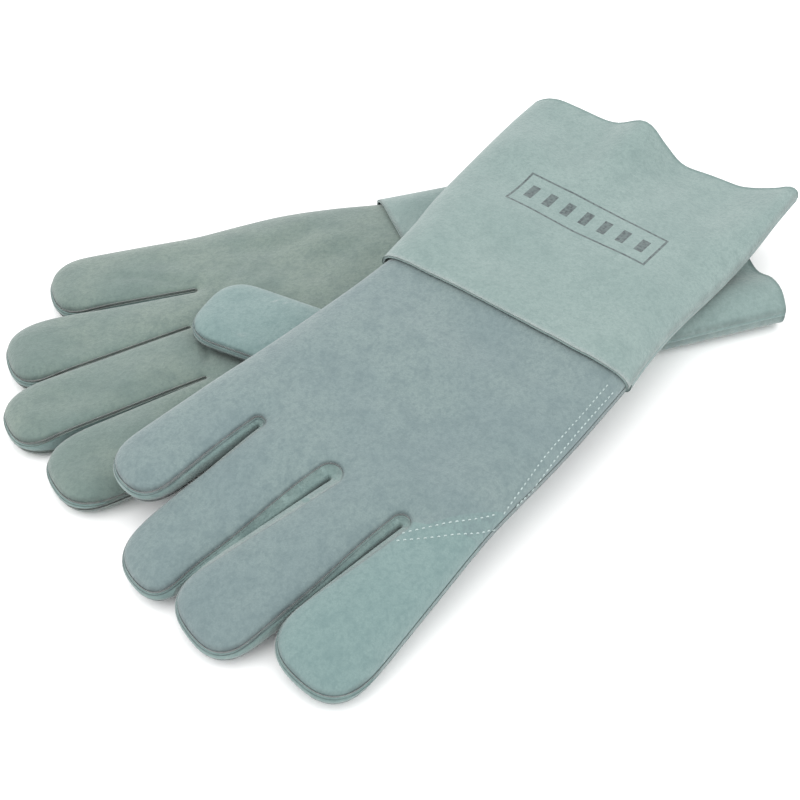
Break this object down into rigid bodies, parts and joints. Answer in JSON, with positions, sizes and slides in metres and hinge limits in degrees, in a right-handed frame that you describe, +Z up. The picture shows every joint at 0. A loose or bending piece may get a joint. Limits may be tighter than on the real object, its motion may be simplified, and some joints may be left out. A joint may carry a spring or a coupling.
{
  "type": "pair of welding gloves",
  "caption": "Pair of split-leather gauntlet welding gloves lying crossed, left palm up under right back up, with bending fingers, swinging thumbs and folding cuffs.",
  "frame": {"origin": "on the surface that the pair lies on, under the middle of the pair's box", "axes": "+Z up; +X along the lower, left glove from its fingertips to its cuff; +Y away from the upper glove's index finger"},
  "size_m": [0.3764, 0.298, 0.0456],
  "materials": {
    "hand_leather": "napped split leather, grey-blue",
    "index_thumb_leather": "napped split leather, teal-grey",
    "cuff_leather": "napped split leather, pale teal",
    "welt_leather": "narrow leather strips in the seams",
    "cotton_lining": "undyed brushed cotton",
    "thread": "white sewing thread"
  },
  "bodies": {
    "left_hand": {"left_hand_back": "hand_leather", "left_hand_liner": "cotton_lining", "left_hand_palm": "hand_leather", "left_hand_welts": "welt_leather"},
    "left_cuff": {"left_cuff_back": "cuff_leather", "left_cuff_lining": "cotton_lining", "left_cuff_palm": "cuff_leather", "left_cuff_stitches": "thread", "left_cuff_welts": "welt_leather"},
    "left_thumb": {"left_thumb_back": "index_thumb_leather", "left_thumb_front": "index_thumb_leather", "left_thumb_liner": "cotton_lining", "left_thumb_welt": "welt_leather"},
    "left_index": {"left_index_back": "index_thumb_leather", "left_index_fourchette": "welt_leather", "left_index_front": "index_thumb_leather", "left_index_liner": "cotton_lining"},
    "left_middle": {"left_middle_back": "hand_leather", "left_middle_fourchette": "welt_leather", "left_middle_front": "hand_leather", "left_middle_liner": "cotton_lining"},
    "left_ring": {"left_ring_back": "hand_leather", "left_ring_fourchette": "welt_leather", "left_ring_front": "hand_leather", "left_ring_liner": "cotton_lining"},
    "left_little": {"left_little_back": "hand_leather", "left_little_fourchette": "welt_leather", "left_little_front": "hand_leather", "left_little_liner": "cotton_lining"},
    "right_hand": {"right_hand_back": "hand_leather", "right_hand_liner": "cotton_lining", "right_hand_palm": "hand_leather", "right_hand_welts": "welt_leather", "right_index_stitches": "thread"},
    "right_cuff": {"right_cuff_back": "cuff_leather", "right_cuff_lining": "cotton_lining", "right_cuff_palm": "cuff_leather", "right_cuff_stitches": "thread", "right_cuff_welts": "welt_leather"},
    "right_thumb": {"right_thumb_back": "index_thumb_leather", "right_thumb_front": "index_thumb_leather", "right_thumb_liner": "cotton_lining", "right_thumb_welt": "welt_leather"},
    "right_index": {"right_index_back": "index_thumb_leather", "right_index_fourchette": "welt_leather", "right_index_front": "index_thumb_leather", "right_index_liner": "cotton_lining"},
    "right_middle": {"right_middle_back": "hand_leather", "right_middle_fourchette": "welt_leather", "right_middle_front": "hand_leather", "right_middle_liner": "cotton_lining"},
    "right_ring": {"right_ring_back": "hand_leather", "right_ring_fourchette": "welt_leather", "right_ring_front": "hand_leather", "right_ring_liner": "cotton_lining"},
    "right_little": {"right_little_back": "hand_leather", "right_little_fourchette": "welt_leather", "right_little_front": "hand_leather", "right_little_liner": "cotton_lining"}
  },
  "joints": [
    {"name": "right_glove_lift", "type": "slide", "parent": "left_hand", "child": "right_hand", "axis": [0, 0, 1], "range_m": [0, 0.25]},
    {"name": "left_index_curl", "type": "hinge", "parent": "left_hand", "child": "left_index", "pos_m": [-0.09823, 0.00814, 0.014], "axis": [-0.1987, 0.9801, 0], "range_deg": [0, 60]},
    {"name": "left_middle_curl", "type": "hinge", "parent": "left_hand", "child": "left_middle", "pos_m": [-0.10198, 0.04414, 0.014], "axis": [0, 1, 0], "range_deg": [0, 75]},
    {"name": "left_ring_curl", "type": "hinge", "parent": "left_hand", "child": "left_ring", "pos_m": [-0.10098, 0.07739, 0.014], "axis": [0.0634, 0.998, 0], "range_deg": [0, 60]},
    {"name": "left_little_curl", "type": "hinge", "parent": "left_hand", "child": "left_little", "pos_m": [-0.09373, 0.11239, 0.014], "axis": [0.3088, 0.9511, 0], "range_deg": [0, 80]},
    {"name": "left_cuff_fold", "type": "hinge", "parent": "left_hand", "child": "left_cuff", "pos_m": [0.01252, 0.05564, 0.014], "axis": [0, -1, 0], "range_deg": [0, 60]},
    {"name": "left_thumb_swing", "type": "hinge", "parent": "left_hand", "child": "left_thumb", "pos_m": [-0.03605, 0.00722, 0.0143], "axis": [0.7071, 0.7071, 0], "range_deg": [0, 60]},
    {"name": "right_index_bend_back", "type": "hinge", "parent": "right_hand", "child": "right_index", "pos_m": [-0.03518, -0.1014, 0.02971], "axis": [-0.8249, 0.5617, 0.0637], "range_deg": [0, 50]},
    {"name": "right_middle_bend_back", "type": "hinge", "parent": "right_hand", "child": "right_middle", "pos_m": [-0.05866, -0.07749, 0.03238], "axis": [-0.5614, 0.8225, 0.0909], "range_deg": [0, 40]},
    {"name": "right_ring_bend_back", "type": "hinge", "parent": "right_hand", "child": "right_ring", "pos_m": [-0.07909, -0.04587, 0.03587], "axis": [-0.521, 0.8484, 0.0936], "range_deg": [0, 40]},
    {"name": "right_little_bend_back", "type": "hinge", "parent": "right_hand", "child": "right_little", "pos_m": [-0.09318, -0.01279, 0.0395], "axis": [-0.2248, 0.9687, 0.1055], "range_deg": [0, 50]},
    {"name": "right_cuff_fold", "type": "hinge", "parent": "right_hand", "child": "right_cuff", "pos_m": [0.02795, 0.00289, 0.04076], "axis": [0.5841, -0.8067, -0.0893], "range_deg": [0, 60]},
    {"name": "right_thumb_swing", "type": "hinge", "parent": "right_hand", "child": "right_thumb", "pos_m": [0.01676, -0.06286, 0.01931], "axis": [-0.1609, -0.9813, -0.1055], "range_deg": [0, 60]}
  ],
  "couplings": [
    {"joint": "left_index_curl", "follows": "right_glove_lift", "rad_per_m": 4.18},
    {"joint": "left_cuff_fold", "follows": "right_glove_lift", "rad_per_m": 4.18},
    {"joint": "left_thumb_swing", "follows": "right_glove_lift", "rad_per_m": 4.18},
    {"joint": "right_thumb_swing", "follows": "right_glove_lift", "rad_per_m": 4.18}
  ]
}
